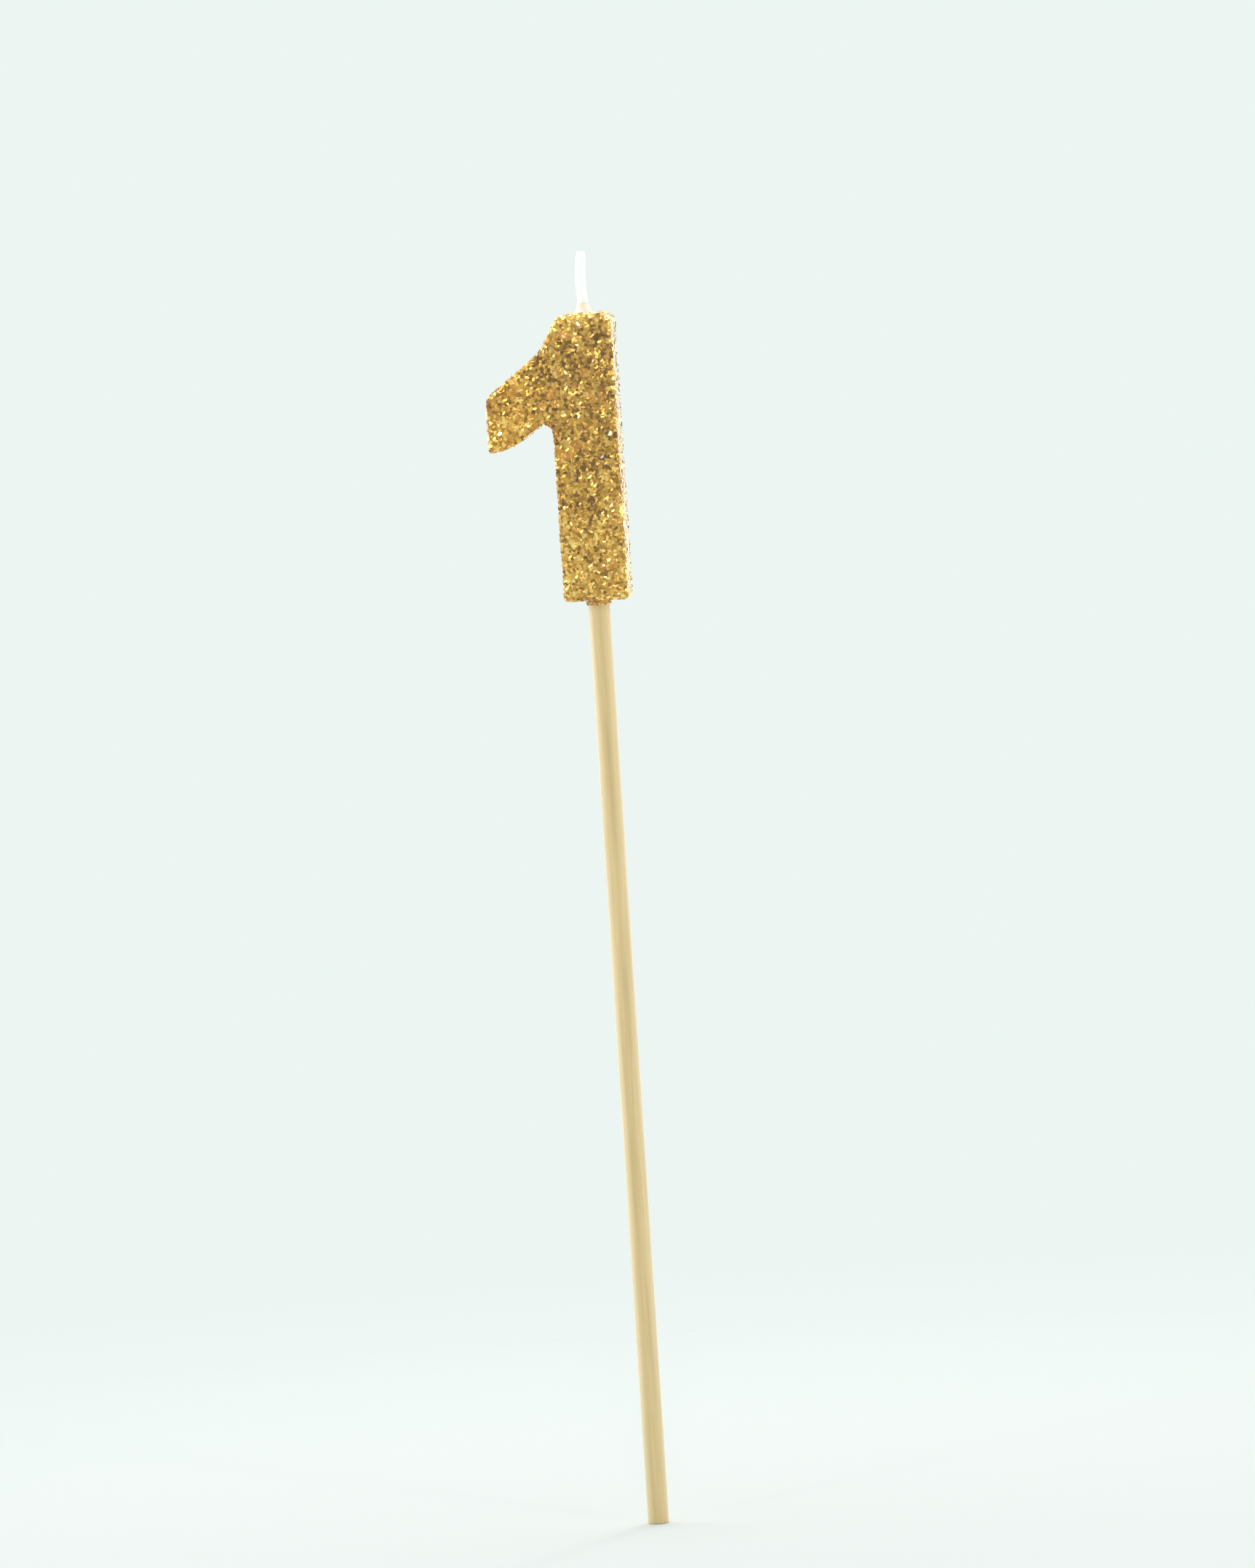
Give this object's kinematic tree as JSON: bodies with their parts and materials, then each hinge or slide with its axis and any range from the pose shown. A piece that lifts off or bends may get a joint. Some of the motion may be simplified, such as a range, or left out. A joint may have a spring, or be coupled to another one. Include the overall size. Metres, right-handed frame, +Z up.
{
  "type": "number candle",
  "caption": "Glitter-coated wax number one candle with a waxed cotton wick, cast on a long round wooden stick for pushing into a cake.",
  "frame": {"origin": "centre of the flat face at the stick's foot", "axes": "+Z up along the stick, the numeral's front faces -Y, its flag points to -X"},
  "size_m": [0.0183, 0.0074, 0.1764],
  "materials": {
    "wood": "bare, smooth turned birch",
    "wax": "white candle wax, faintly translucent",
    "glitter": "gold metallised plastic glitter set in clear lacquer",
    "waxed_cotton": "braided cotton soaked in white wax"
  },
  "bodies": {
    "root": {"stick": "wood", "wax_numeral": "wax", "glitter_coat": "glitter", "wick": "waxed_cotton"}
  },
  "joints": []
}
